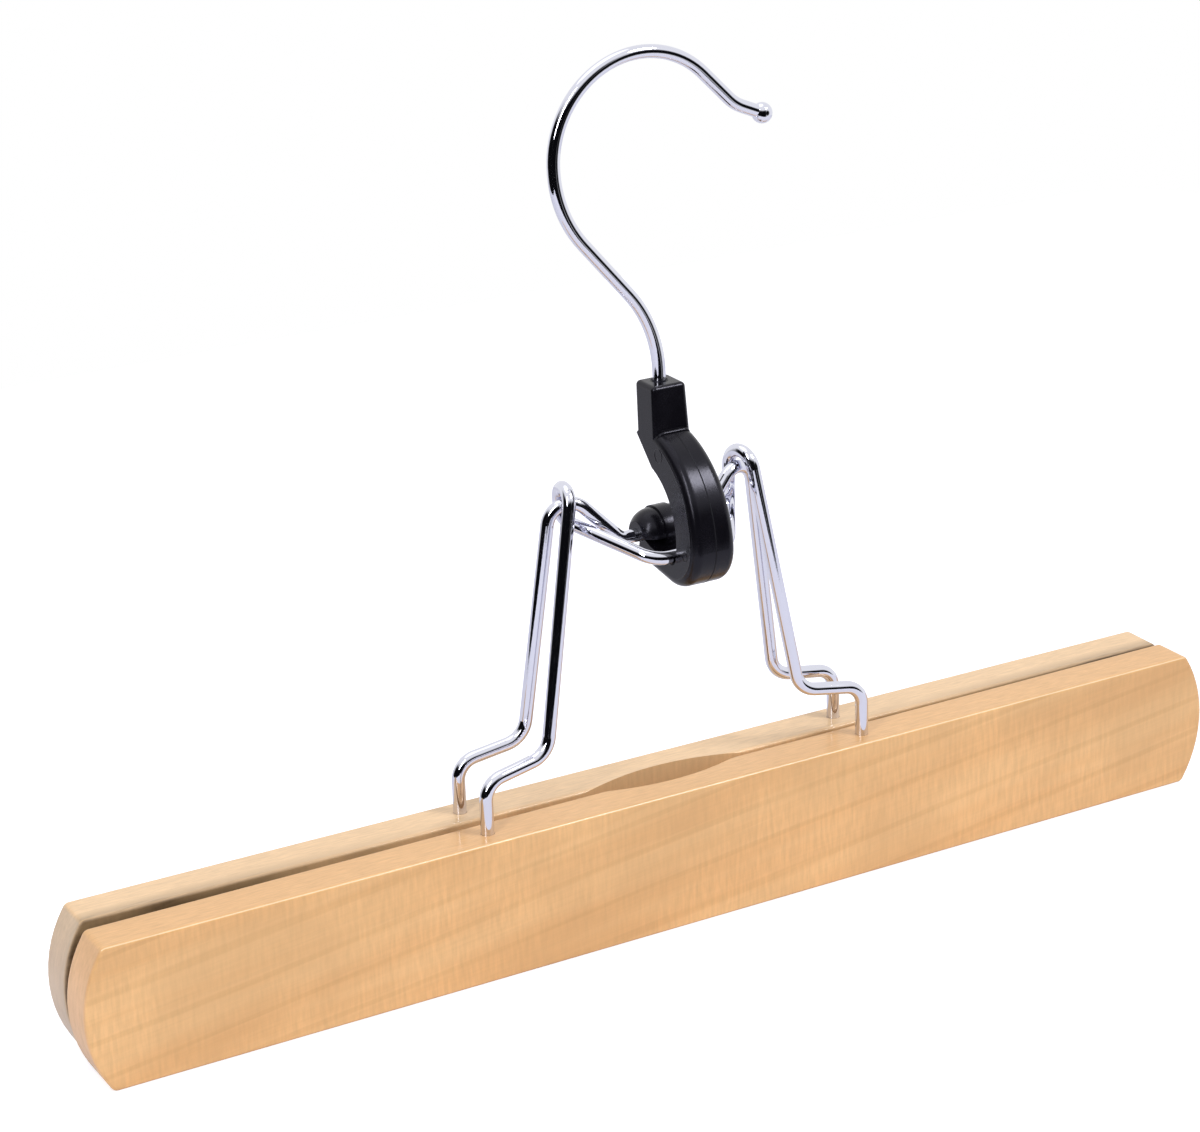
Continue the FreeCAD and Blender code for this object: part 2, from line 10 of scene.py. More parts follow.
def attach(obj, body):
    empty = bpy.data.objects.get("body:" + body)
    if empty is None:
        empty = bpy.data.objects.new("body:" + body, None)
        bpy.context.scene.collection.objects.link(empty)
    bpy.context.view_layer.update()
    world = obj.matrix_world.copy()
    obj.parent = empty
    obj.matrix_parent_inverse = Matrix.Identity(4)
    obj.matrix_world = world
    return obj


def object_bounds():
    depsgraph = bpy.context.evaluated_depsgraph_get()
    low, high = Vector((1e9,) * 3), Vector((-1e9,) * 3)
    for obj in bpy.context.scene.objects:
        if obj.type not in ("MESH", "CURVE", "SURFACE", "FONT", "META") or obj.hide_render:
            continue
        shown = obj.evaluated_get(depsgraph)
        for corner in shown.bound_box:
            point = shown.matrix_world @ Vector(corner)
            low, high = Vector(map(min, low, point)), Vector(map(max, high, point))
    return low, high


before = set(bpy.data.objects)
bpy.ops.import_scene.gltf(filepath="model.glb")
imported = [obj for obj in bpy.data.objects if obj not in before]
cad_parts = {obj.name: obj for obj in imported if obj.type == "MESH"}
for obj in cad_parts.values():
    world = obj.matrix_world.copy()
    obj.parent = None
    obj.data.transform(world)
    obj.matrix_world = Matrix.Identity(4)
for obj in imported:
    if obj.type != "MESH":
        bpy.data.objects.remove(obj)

bl_info = {
    "name": "Skirt Hanger Dresser",
    "version": (1, 0, 0),
    "blender": (4, 5, 0),
    "location": "3D View > Sidebar > Hanger",
    "description": "Gives a clamping skirt hanger its wood, chrome and moulded plastic, and a small studio",
    "category": "Object",
}

CAD_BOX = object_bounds()
MM = 0.001
WHITE = (1.0, 1.0, 1.0, 1.0)
SIDES = {"left": -1, "right": 1}

# Lever in millimetres, its places as (back, up) with the hanger's front at minus, its angles in degrees
TOE_CENTRE = (-13.25, 90.1)
TOE_ROUND = 9.4
CROWN_ROUND = 22.45
CROWN_CENTRE = (TOE_CENTRE[0] - TOE_ROUND + CROWN_ROUND, TOE_CENTRE[1])
CROWN_START = 105.5
NOSE_ROUND = 2.0
BLOCK_TOP = 121.4
LEVER_LOW = TOE_CENTRE[1] - TOE_ROUND
TOP_HALF_WIDTH = 4.0
LOW_HALF_WIDTH = 5.35

# Parting line down the middle of the crown and toe, in the same units
SEAM_START = CROWN_START + 1
SEAM_END = 300
SEAM_STEPS = 90
SEAM_CLEARANCE = 0.01
SEAM_RISE = 0.03

# Lip below the block, in the same units; a taper is its steps and the share of the radius at its tip
BLOCK_LIP_ANGLE = CROWN_START + 1
BLOCK_LIP_STEPS = 48
BLOCK_LIP_INSET = 0.2
BLOCK_LIP_TAPER = (5, 0.2)

# Lips beside the crown, in the same units, set into the lever's sides by a share of their radius
EDGE_LIP_START = CROWN_START + 2
EDGE_LIP_END = 285
EDGE_LIP_STEPS = 80
EDGE_LIP_PROUD = 0.1
EDGE_LIP_SINK = 0.45
EDGE_LIP_TOP_TAPER = (6, 0.15)
EDGE_LIP_LOW_TAPER = (30, 0.05)
BEAD_SIDES = 10

# Ejector marks on the lever's sides: centre and radius, and a profile as (past the radius, proud)
EJECTOR_MARKS = {"upper": ((-7.5, 107.4), 1.5), "lower": ((-18.4, 88.6), 1.0)}
MARK_PROFILE = ((-0.22, -0.05), (-0.1, 0.07), (0.0, 0.07), (0.1, -0.05))
MARK_STEPS = 40

# Bars: settings for top and end, grime with painted shade, way to the gap, gap's edge (mm back, slope), shift
# of the grain
BARS = {
    "front": {
        "top": "top", "end": "end", "grime_and_shade": 0.1,
        "gap_side": 1.0, "gap_edge": (-1.0, 0.0), "shift": (0.0, 0.0, 0.0),
    },
    "back": {
        "top": "back_top", "end": "back_end", "grime_and_shade": 0.7,
        "gap_side": -1.0, "gap_edge": (1.0, -0.0114), "shift": (0.31, 0.17, 0.05),
    },
}

# Parts of a bar by where they look: the turn at which each begins and is full, and its share there
FACE_RANGES = {
    "top": (0.55, 0.95, 0.85),
    # The arris gets a painted highlight along the rounded upper edge
    "arris_highlight": (0.5, 0.68, 0.8),
    "end": (0.5, 0.85, 0.8),
    "grip": (0.5, 0.9, 0.9),
}

# Stain and grime, both partly painted shade, grow between these distances from mid-length, in metres, from
# one share to the other
STAIN_AND_SHADE_REACH = (0.045, 0.12)
STAIN_AND_SHADE_SHARES = (0.1, 1.5)

# How fast the bands and fibres change along, through and up a bar, against their own widths
BAND_PACE = (0.1, 0.4, 1.0)
FIBRE_PACE = (0.03, 1.0, 1.0)

# Weight of the fibres beside the flecks, and gain and drop of the streaks that they make on the tops
FIBRE_WEIGHT = 0.3
STREAK_GAIN = 1.5
STREAK_DROP = -0.15

# Roughness of the moulded plastic and of its parting line, and how far it strays
PLASTIC_ROUGHNESS = 0.23
SEAM_ROUGHNESS = 0.6
ROUGHNESS_STRAY = 0.07

# Dark room in the chrome: ways to its front left and its doorway, their soft edges, and the front's top
FRONT_LEFT = (-0.82, -0.57, 0.0)
FRONT_EDGE = (0.04, 0.40)
FRONT_TOP = (0.68, 0.38)
DOORWAY = (0.53, -0.85, 0.0)
DOOR_EDGE = (0.87, 0.97)

# Table in metres: left, right, front and back edges, and how round its corners are
TABLE = (-0.30, 0.50, -0.25, 0.45)
TABLE_CORNER = 0.05
CORNER_STEPS = 12

# Glow of the floor to the eye, and to all that sees the background
EYE_GLOW = 0.5
SEEN_GLOW = 0.06

# Lamps in metres: place, width and height, and the setting that holds the power
LAMPS = {
    "front softbox": ((0.50, -0.54, 0.92), 0.34, 0.34, "key_power"),
    "top softbox": ((-0.1, 0.25, 1.1), 0.9, 0.9, "top_power"),
    "left strip light": ((-0.74, -0.44, 0.66), 0.2, 0.8, "fill_power"),
}
LAMP_AIM = Vector((0.0, 0.0, 0.07))

# Camera: width of its sensor in millimetres, and the nearest that it sees in metres
SENSOR_WIDTH = 36.0
NEAREST = 0.01


def linear(hex_colour):
    """An sRGB hex colour as linear red, green, blue and alpha."""
    parts = [int(hex_colour[i:i + 2], 16) / 255 for i in (1, 3, 5)]
    return tuple(p / 12.92 if p <= 0.04045 else ((p + 0.055) / 1.055) ** 2.4 for p in parts) + (1.0,)


def add_node(tree, kind, inputs=None, **settings):
    """Adds a node, sets its properties, and fills or links its inputs by name or index."""
    node = tree.nodes.new(kind)
    for name, setting in settings.items():
        setattr(node, name, setting)
    for key, given in (inputs or {}).items():
        socket = node.inputs[key]
        if isinstance(given, bpy.types.NodeSocket):
            tree.links.new(given, socket)
        else:
            socket.default_value = given
    return node


def new_material(name):
    """A node material with nothing in it yet, and its tree."""
    material = bpy.data.materials.new(name)
    material.use_nodes = True
    material.node_tree.nodes.clear()
    return material, material.node_tree


def colour_property(name, description, hex_colour):
    """A colour that a user can change."""
    return FloatVectorProperty(
        name=name, description=description, subtype="COLOR", size=4, min=0.0, max=1.0,
        default=linear(hex_colour),
    )


def length_property(name, description, millimetres):
    """A length that a user can change."""
    return FloatProperty(
        name=name, description=description, unit="LENGTH", default=millimetres * MM, precision=5
    )


def angle_property(name, description, degrees):
    """An angle that a user can change."""
    return FloatProperty(name=name, description=description, subtype="ANGLE", default=math.radians(degrees))


def power_property(name, description, watts):
    """A lamp's power that a user can change."""
    return FloatProperty(name=name, description=description, subtype="POWER", default=watts)


class HangerWood(PropertyGroup):
    """Colours and grain of the clamp bars"""
    honey: colour_property("Honey", "Heartwood colour of the wide faces", "#E4B074")
    pale: colour_property("Pale", "Sapwood colour between the darker bands", "#EBBB80")
    ring: colour_property("Ring", "Late wood lines", "#C99356")
    top: colour_property("Top", "Sanded upper edge of the front bar", "#E4B37C")
    back_top: colour_property("Back top", "Paler upper edge of the back bar", "#EDCBA2")
    end: colour_property("End grain", "Pinkish end grain of the front bar", "#E3B280")
    back_end: colour_property("Back end grain", "Greyer end grain of the back bar", "#CDB69C")
    # Painted highlight along the rounded upper edge
    arris_highlight: colour_property("Arris", "Pale worn line on the rounded upper edge", "#F8DDB4")
    inner: colour_property("Inner face", "Paler gripping faces in the gap", "#E8C294")
    # Dark colour of real stain and grime, and of painted shade in the gap
    stain_and_shade: colour_property("Stain", "Dark stain of the gripping faces and grime along the gap", "#4A3A28")
    band_width: length_property("Band width", "Distance between broad colour bands", 9.0)
    fibre_width: length_property("Fibre width", "Distance between wood fibres, drawn coarser than life", 0.45)
    fleck_width: length_property("Fleck width", "Width of the ray flecks that stand across the grain", 0.75)
    fleck_height: length_property("Fleck height", "Height of the ray flecks", 5.0)
    patch_width: length_property("Patch width", "Size of the patches of strong and weak flecks", 25.7143)
    # Strip along the gap darkened by grime and painted shade
    grime_and_shade_width: length_property("Grime width", "Width of the grimy strip along the gap", 4.0)
    # Stains on the gripping faces, partly painted shade
    stain_and_shade_length: length_property("Stain length", "Length of the stains on the gripping faces", 22.2222)
    stain_and_shade_height: length_property("Stain height", "Height of the stains on the gripping faces", 6.25)
    slope: angle_property("Grain slope", "Lean of the grain along the bar", 7)


class HangerWire(PropertyGroup):
    """Plating of the bows and the hook"""
    chrome: colour_property("Chrome", "Colour of the plating, faintly lilac", "#DCDDE9")
    ripple: length_property("Ripple", "Width of the drawing ripple, drawn coarser than life", 0.7)
    cloud: length_property("Cloud", "Size of the faint clouds in the plating's polish", 7.0)


class HangerLever(PropertyGroup):
    """Plastic and trim of the lever"""
    black: colour_property("Black", "Colour of the moulded plastic", "#0E0D12")
    # Darker colour of the parting line, painted shade of the seam
    seam_shade_colour: colour_property("Seam", "Colour of the parting line", "#060608")
    highlight: colour_property("Highlight", "Faintly blue tint of the plastic's highlights", "#EBEAFF")
    grit: length_property("Grit", "Grain of the mould's spark texture, drawn coarser than life", 0.35)
    flow: length_property("Flow", "Size of the faint patches left as the plastic flowed", 5.8333)
    seam_width: length_property("Seam width", "Width of the parting line", 0.3)
    lip_round: length_property("Lip round", "Radius of the raised lips beside the crown", 0.24)
    block_lip_round: length_property("Block lip round", "Radius of the raised lip below the block", 0.48)


class HangerStudio(PropertyGroup):
    """Floor, light and camera"""
    floor: colour_property("Floor", "Pale floor, faintly lilac", "#E0E0EA")
    mottle: colour_property("Mottle", "Paler mottling of the floor", "#E6E6EF")
    mottle_width: length_property("Mottle width", "Size of the floor's mottling", 13.3333)
    room: colour_property("Room", "Dark room in front of the table, seen in the chrome", "#0A0A0D")
    key_power: power_property("Key", "Power of the soft key lamp", 5.2)
    top_power: power_property("Top", "Power of the overhead lamp", 1.1)
    fill_power: power_property("Fill", "Power of the fill lamp on the left", 4.0)
    ambient: FloatProperty(name="Ambient", description="Level of the light from all round", default=0.51)
    azimuth: angle_property("Azimuth", "Camera turn about the upright", -29.05)
    elevation: angle_property("Elevation", "Camera height angle", 20.743)
    roll: angle_property("Roll", "Camera tilt", -1.775)
    distance: length_property("Distance", "Camera distance from its aim", 673.668)
    lens: FloatProperty(name="Lens", description="Camera focal length", unit="CAMERA", default=96.627)
    aim: FloatVectorProperty(
        name="Aim", description="Place that the camera looks at", subtype="TRANSLATION", unit="LENGTH",
        default=(-0.015264, -0.0008, 0.083375), precision=5,
    )


def grain_colour(tree, wood, grain):
    """Broad sloping bands of honey and pale wood, with late wood lines."""
    broad = add_node(
        tree, "ShaderNodeMapping",
        {"Vector": grain, "Scale": tuple(pace / wood.band_width for pace in BAND_PACE)},
    )
    bands = add_node(
        tree, "ShaderNodeTexNoise",
        {"Vector": broad.outputs[0], "Scale": 1.0, "Detail": 3.0, "Roughness": 0.55, "Distortion": 0.35},
    )
    band_mask = add_node(
        tree, "ShaderNodeMapRange",
        {"Value": bands.outputs["Fac"], "From Min": 0.33, "From Max": 0.67},
        interpolation_type="SMOOTHSTEP",
    )
    tone = add_node(
        tree, "ShaderNodeMix",
        {0: band_mask.outputs[0], 6: tuple(wood.honey), 7: tuple(wood.pale)},
        data_type="RGBA",
    )
    rings = add_node(
        tree, "ShaderNodeTexWave",
        {"Vector": broad.outputs[0], "Scale": 0.34, "Distortion": 5.0, "Detail": 2.0, "Detail Scale": 0.8},
        wave_type="BANDS", bands_direction="Z", wave_profile="SIN",
    )
    ring_mask = add_node(
        tree, "ShaderNodeMapRange",
        {"Value": rings.outputs["Fac"], "From Min": 0.9, "From Max": 1.0, "To Max": 0.22},
        interpolation_type="SMOOTHSTEP",
    )
    ringed = add_node(
        tree, "ShaderNodeMix",
        {0: ring_mask.outputs[0], 6: tone.outputs[2], 7: tuple(wood.ring)},
        data_type="RGBA",
    )
    return ringed.outputs[2]


def long_fibres(tree, wood, grain):
    """Long fibres that run with the grain."""
    # Real fibres are too fine to show, so these are drawn coarser
    stretched = add_node(
        tree, "ShaderNodeMapping",
        {"Vector": grain, "Scale": tuple(pace / wood.fibre_width for pace in FIBRE_PACE)},
    )
    fibres = add_node(
        tree, "ShaderNodeTexNoise", {"Vector": stretched.outputs[0], "Scale": 1.0, "Detail": 2.0}
    )
    return fibres.outputs["Fac"]


def ray_flecks(tree, wood, spot, grain):
    """Ray flecks and saw marks that stand across the grain, in patches."""
    stretched = add_node(
        tree, "ShaderNodeMapping",
        {"Vector": spot, "Scale": (1 / wood.fleck_width, 1 / wood.fleck_width, 1 / wood.fleck_height)},
    )
    flecks = add_node(
        tree, "ShaderNodeTexNoise", {"Vector": stretched.outputs[0], "Scale": 1.0, "Detail": 3.0}
    )
    patches = add_node(
        tree, "ShaderNodeTexNoise", {"Vector": grain, "Scale": 1 / wood.patch_width, "Detail": 1.0}
    )
    depth = add_node(
        tree, "ShaderNodeMapRange",
        {"Value": patches.outputs["Fac"], "From Min": 0.35, "From Max": 0.7, "To Min": 0.5, "To Max": 1.3},
    )
    amount = add_node(
        tree, "ShaderNodeMath", {0: flecks.outputs["Fac"], 1: depth.outputs[0]}, operation="MULTIPLY"
    )
    return amount.outputs[0]


def face_masks(tree, normal, gap_side):
    """How far each point counts as top, arris with its painted highlight, end or gripping face, from where it
    looks.
    """
    facing = add_node(tree, "ShaderNodeSeparateXYZ", {0: normal})
    inward = add_node(
        tree, "ShaderNodeMath", {0: facing.outputs["Y"], 1: gap_side}, operation="MULTIPLY"
    )
    outward = add_node(
        tree, "ShaderNodeMath", {0: facing.outputs["Y"], 1: -gap_side}, operation="MULTIPLY"
    )
    arris_highlight = add_node(
        tree, "ShaderNodeMath", {0: outward.outputs[0], 1: facing.outputs["Z"]}, operation="MINIMUM"
    )
    sideways = add_node(tree, "ShaderNodeMath", {0: facing.outputs["X"]}, operation="ABSOLUTE")
    turns = {
        "top": facing.outputs["Z"],
        "arris_highlight": arris_highlight.outputs[0],
        "end": sideways.outputs[0],
        "grip": inward.outputs[0],
    }
    masks = {}
    for part, (begins, full, share) in FACE_RANGES.items():
        mask = add_node(
            tree, "ShaderNodeMapRange",
            {"Value": turns[part], "From Min": begins, "From Max": full, "To Max": share},
        )
        masks[part] = mask.outputs[0]
    return masks


def gap_grime_and_shade(tree, wood, bar, axes, near_end, fibres):
    """Grime and painted shade in streaks along the edge of the gap, most of it near the ends."""
    middle, slope = bar["gap_edge"]
    edge = add_node(
        tree, "ShaderNodeMath", {0: axes.outputs["X"], 1: slope, 2: middle * MM}, operation="MULTIPLY_ADD"
    )
    inboard = add_node(
        tree, "ShaderNodeMath", {0: edge.outputs[0], 1: axes.outputs["Y"]}, operation="SUBTRACT"
    )
    from_gap = add_node(
        tree, "ShaderNodeMath", {0: inboard.outputs[0], 1: bar["gap_side"]}, operation="MULTIPLY"
    )
    by_gap = add_node(
        tree, "ShaderNodeMapRange",
        {"Value": from_gap.outputs[0], "From Min": wood.grime_and_shade_width, "From Max": 0.0, "To Max": bar["grime_and_shade"]},
    )
    placed = add_node(tree, "ShaderNodeMath", {0: by_gap.outputs[0], 1: near_end}, operation="MULTIPLY")
    streaked = add_node(
        tree, "ShaderNodeMath", {0: placed.outputs[0], 1: fibres}, operation="MULTIPLY", use_clamp=True
    )
    return streaked.outputs[0]


def gripping_face(tree, wood, spot, near_end):
    """Pale gripping face, darkened near the ends by stains that are partly painted shade in the gap."""
    stretched = add_node(
        tree, "ShaderNodeMapping",
        {"Vector": spot, "Scale": (1 / wood.stain_and_shade_length, 1 / wood.stain_and_shade_length, 1 / wood.stain_and_shade_height)},
    )
    stains_and_shade = add_node(
        tree, "ShaderNodeTexNoise", {"Vector": stretched.outputs[0], "Scale": 1.0, "Detail": 4.0}
    )
    stain_and_shade_mask = add_node(
        tree, "ShaderNodeMath", {0: stains_and_shade.outputs["Fac"], 1: near_end}, operation="MULTIPLY", use_clamp=True
    )
    stained_and_shaded = add_node(
        tree, "ShaderNodeMix",
        {0: stain_and_shade_mask.outputs[0], 6: tuple(wood.inner), 7: tuple(wood.stain_and_shade)},
        data_type="RGBA",
    )
    return stained_and_shaded.outputs[2]


# Lacquered hardwood: planed and sanded, sprayed with clear satin lacquer, so soft sloping
# bands and fine flecks show under a thin gloss; a painted highlight runs along the rounded upper edge,
# and the gripping faces and the strip along the gap are darkened toward their ends by stains and grime that
# are partly painted shade
def lacquered_hardwood(name, wood, bar):
    material, tree = new_material(name)
    place = add_node(tree, "ShaderNodeTexCoord")
    spot = place.outputs["Object"]
    leaned = add_node(
        tree, "ShaderNodeMapping",
        {"Vector": spot, "Location": bar["shift"], "Rotation": (0.0, wood.slope, 0.0)},
    )
    grain = leaned.outputs[0]
    fibres = long_fibres(tree, wood, grain)
    flecks = ray_flecks(tree, wood, spot, grain)
    masks = face_masks(tree, place.outputs["Normal"], bar["gap_side"])
    axes = add_node(tree, "ShaderNodeSeparateXYZ", {0: spot})
    from_middle = add_node(tree, "ShaderNodeMath", {0: axes.outputs["X"]}, operation="ABSOLUTE")
    near_end = add_node(
        tree, "ShaderNodeMapRange",
        {"Value": from_middle.outputs[0], "From Min": STAIN_AND_SHADE_REACH[0], "From Max": STAIN_AND_SHADE_REACH[1],
         "To Min": STAIN_AND_SHADE_SHARES[0], "To Max": STAIN_AND_SHADE_SHARES[1]},
    )
    colour = grain_colour(tree, wood, grain)
    # Layers over the grain: the tops, a painted highlight on the arris, grime with painted shade along the
    # gap, and the ends
    for mask, tint in (
        (masks["top"], getattr(wood, bar["top"])),
        (masks["arris_highlight"], wood.arris_highlight),
        (gap_grime_and_shade(tree, wood, bar, axes, near_end.outputs[0], fibres), wood.stain_and_shade),
        (masks["end"], getattr(wood, bar["end"])),
    ):
        layer = add_node(tree, "ShaderNodeMix", {0: mask, 6: colour, 7: tuple(tint)}, data_type="RGBA")
        colour = layer.outputs[2]
    dressed = add_node(
        tree, "ShaderNodeMix",
        {0: masks["grip"], 6: colour, 7: gripping_face(tree, wood, spot, near_end.outputs[0])},
        data_type="RGBA",
    )
    # Flecks show on the upright faces, and streaks with the grain on the tops
    fine = add_node(
        tree, "ShaderNodeMath", {0: fibres, 1: FIBRE_WEIGHT, 2: flecks}, operation="MULTIPLY_ADD"
    )
    streaks = add_node(
        tree, "ShaderNodeMath", {0: fibres, 1: STREAK_GAIN, 2: STREAK_DROP}, operation="MULTIPLY_ADD"
    )
    figure = add_node(
        tree, "ShaderNodeMix", {0: masks["top"], 2: fine.outputs[0], 3: streaks.outputs[0]}
    )
    shade = add_node(
        tree, "ShaderNodeMapRange",
        {"Value": figure.outputs[0], "From Min": 0.2, "From Max": 0.95, "To Min": 0.87, "To Max": 1.1},
    )
    shaded = add_node(
        tree, "ShaderNodeVectorMath", {0: dressed.outputs[2], "Scale": shade.outputs[0]}, operation="SCALE"
    )
    rough = add_node(
        tree, "ShaderNodeMapRange",
        {"Value": fine.outputs[0], "From Min": 0.4, "From Max": 1.3, "To Min": 0.46, "To Max": 0.34},
    )
    bump = add_node(
        tree, "ShaderNodeBump", {"Strength": 0.25, "Distance": 0.03 * MM, "Height": fine.outputs[0]}
    )
    shader = add_node(
        tree, "ShaderNodeBsdfPrincipled",
        {"Base Color": shaded.outputs[0], "Roughness": rough.outputs[0], "Normal": bump.outputs[0],
         "IOR": 1.5, "Coat Weight": 0.4, "Coat Roughness": 0.12},
    )
    add_node(tree, "ShaderNodeOutputMaterial", {"Surface": shader.outputs[0]})
    return material


# Chromium plated steel wire: drawn, bent cold and bright plated, so it mirrors the room in
# long stripes with a faint ripple left by the drawing die
def plated_wire(name, wire):
    material, tree = new_material(name)
    place = add_node(tree, "ShaderNodeTexCoord")
    # Real drawing marks are too fine to show, so the ripple is drawn coarser
    ripple = add_node(
        tree, "ShaderNodeTexNoise",
        {"Vector": place.outputs["Object"], "Scale": 1 / wire.ripple, "Detail": 2.0},
    )
    cloud = add_node(
        tree, "ShaderNodeTexNoise", {"Vector": place.outputs["Object"], "Scale": 1 / wire.cloud}
    )
    rough = add_node(
        tree, "ShaderNodeMapRange",
        {"Value": cloud.outputs["Fac"], "From Min": 0.3, "From Max": 0.7, "To Min": 0.04, "To Max": 0.09},
    )
    bump = add_node(
        tree, "ShaderNodeBump", {"Strength": 0.2, "Distance": 0.012 * MM, "Height": ripple.outputs["Fac"]}
    )
    shader = add_node(
        tree, "ShaderNodeBsdfPrincipled",
        {"Base Color": tuple(wire.chrome), "Metallic": 1.0, "Roughness": rough.outputs[0],
         "Normal": bump.outputs[0]},
    )
    add_node(tree, "ShaderNodeOutputMaterial", {"Surface": shader.outputs[0]})
    return material


# Black ABS, injection moulded in a finely spark eroded tool: a dull satin skin that goes
# grey where a lamp glances off it
def moulded_abs(name, lever, colour, roughness):
    material, tree = new_material(name)
    place = add_node(tree, "ShaderNodeTexCoord")
    # The real spark texture is too fine to show, so its grit is drawn coarser
    grit = add_node(
        tree, "ShaderNodeTexNoise",
        {"Vector": place.outputs["Object"], "Scale": 1 / lever.grit, "Detail": 3.0},
    )
    flow = add_node(
        tree, "ShaderNodeTexNoise",
        {"Vector": place.outputs["Object"], "Scale": 1 / lever.flow, "Detail": 2.0},
    )
    mixed = add_node(
        tree, "ShaderNodeMath", {0: grit.outputs["Fac"], 1: flow.outputs["Fac"]}, operation="MULTIPLY"
    )
    rough = add_node(
        tree, "ShaderNodeMapRange",
        {"Value": mixed.outputs[0], "From Min": 0.1, "From Max": 0.45,
         "To Min": roughness - ROUGHNESS_STRAY, "To Max": roughness + ROUGHNESS_STRAY},
    )
    shade = add_node(
        tree, "ShaderNodeMapRange",
        {"Value": flow.outputs["Fac"], "From Min": 0.3, "From Max": 0.7, "To Min": 0.8, "To Max": 1.25},
    )
    tinted = add_node(
        tree, "ShaderNodeVectorMath", {0: tuple(colour)[:3], "Scale": shade.outputs[0]}, operation="SCALE"
    )
    bump = add_node(
        tree, "ShaderNodeBump", {"Strength": 0.3, "Distance": 0.02 * MM, "Height": grit.outputs["Fac"]}
    )
    shader = add_node(
        tree, "ShaderNodeBsdfPrincipled",
        {"Base Color": tinted.outputs[0], "Roughness": rough.outputs[0], "Normal": bump.outputs[0],
         "IOR": 1.53, "Specular IOR Level": 0.25, "Specular Tint": tuple(lever.highlight)},
    )
    add_node(tree, "ShaderNodeOutputMaterial", {"Surface": shader.outputs[0]})
    return material


def wear(node_name, material):
    """Puts a material on a CAD node in place of its packed one."""
    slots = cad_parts[node_name].data.materials
    slots.clear()
    slots.append(material)


def mesh_piece(name, shape, material, body):
    """A new mesh piece from a bmesh, riding on a body."""
    mesh = bpy.data.meshes.new(name)
    shape.to_mesh(mesh)
    shape.free()
    for face in mesh.polygons:
        face.use_smooth = True
    mesh.materials.append(material)
    piece = bpy.data.objects.new(name, mesh)
    bpy.context.scene.collection.objects.link(piece)
    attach(piece, body)


def join_rings(shape, rings):
    """Faces between each ring of points and the next."""
    for before, after in zip(rings, rings[1:]):
        for k in range(len(before)):
            following = (k + 1) % len(before)
            shape.faces.new((before[k], before[following], after[following], after[k]))


def bead(stations, outwards, sideways):
    """A closed bead through (place, radius) stations, each with its outward direction."""
    shape = bmesh.new()
    rings = []
    for (place, radius), outward in zip(stations, outwards):
        ring = []
        for k in range(BEAD_SIDES):
            turn = 2 * math.pi * k / BEAD_SIDES
            spoke = math.cos(turn) * outward + math.sin(turn) * sideways
            ring.append(shape.verts.new(place + radius * spoke))
        rings.append(ring)
    join_rings(shape, rings)
    shape.faces.new(rings[0])
    shape.faces.new(rings[-1])
    bmesh.ops.recalc_face_normals(shape, faces=shape.faces)
    return shape


def taper(step, last, start, end):
    """Share of its radius that a lip has at a step, from the tapers at its start and its end."""
    return min(1.0, step / start[0] + start[1], (last - step) / end[0] + end[1])


def half_width(up):
    """Half the lever's width at a height, in millimetres."""
    share = (BLOCK_TOP - up) / (BLOCK_TOP - LEVER_LOW)
    return TOP_HALF_WIDTH + (LOW_HALF_WIDTH - TOP_HALF_WIDTH) * share


def nose_path(inset, first, last, steps):
    """Places along the crown and toe, as (back, up, outward back, outward up)."""
    path = []
    for i in range(steps + 1):
        angle = math.radians(first + (last - first) * i / steps)
        out = (math.cos(angle), math.sin(angle))
        centre, bend = (CROWN_CENTRE, CROWN_ROUND) if angle < math.pi else (TOE_CENTRE, TOE_ROUND)
        reach = bend - inset
        path.append((centre[0] + out[0] * reach, centre[1] + out[1] * reach, out[0], out[1]))
    return path


def background_rays(tree):
    """Marks the rays of the eye, and all rays that see the background, in metal and glass too."""
    path = add_node(tree, "ShaderNodeLightPath")
    eye = path.outputs["Is Camera Ray"]
    mirrored = add_node(
        tree, "ShaderNodeMath", {0: eye, 1: path.outputs["Is Glossy Ray"]}, operation="ADD"
    )
    seen = add_node(
        tree, "ShaderNodeMath", {0: mirrored.outputs[0], 1: path.outputs["Is Transmission Ray"]},
        operation="ADD", use_clamp=True,
    )
    return eye, seen.outputs[0]


class HANGER_OT_clamp_bars(Operator):
    """Gives both clamp bars their lacquered wood"""
    bl_idname = "hanger.clamp_bars"
    bl_label = "Clamp Bars"

    def execute(self, context):
        wood = context.scene.hanger_wood
        for place, bar in BARS.items():
            wear(f"{place}_bar", lacquered_hardwood(f"lacquered hardwood {place}", wood, bar))
        return {"FINISHED"}


class HANGER_OT_wire_pieces(Operator):
    """Gives the bows and the hook their chromium plating"""
    bl_idname = "hanger.wire_pieces"
    bl_label = "Wire Bows and Hook"

    def execute(self, context):
        chrome = plated_wire("bright chromium plated wire", context.scene.hanger_wire)
        for name in ("front_bow", "back_bow", "swivel_hook"):
            wear(name, chrome)
        return {"FINISHED"}


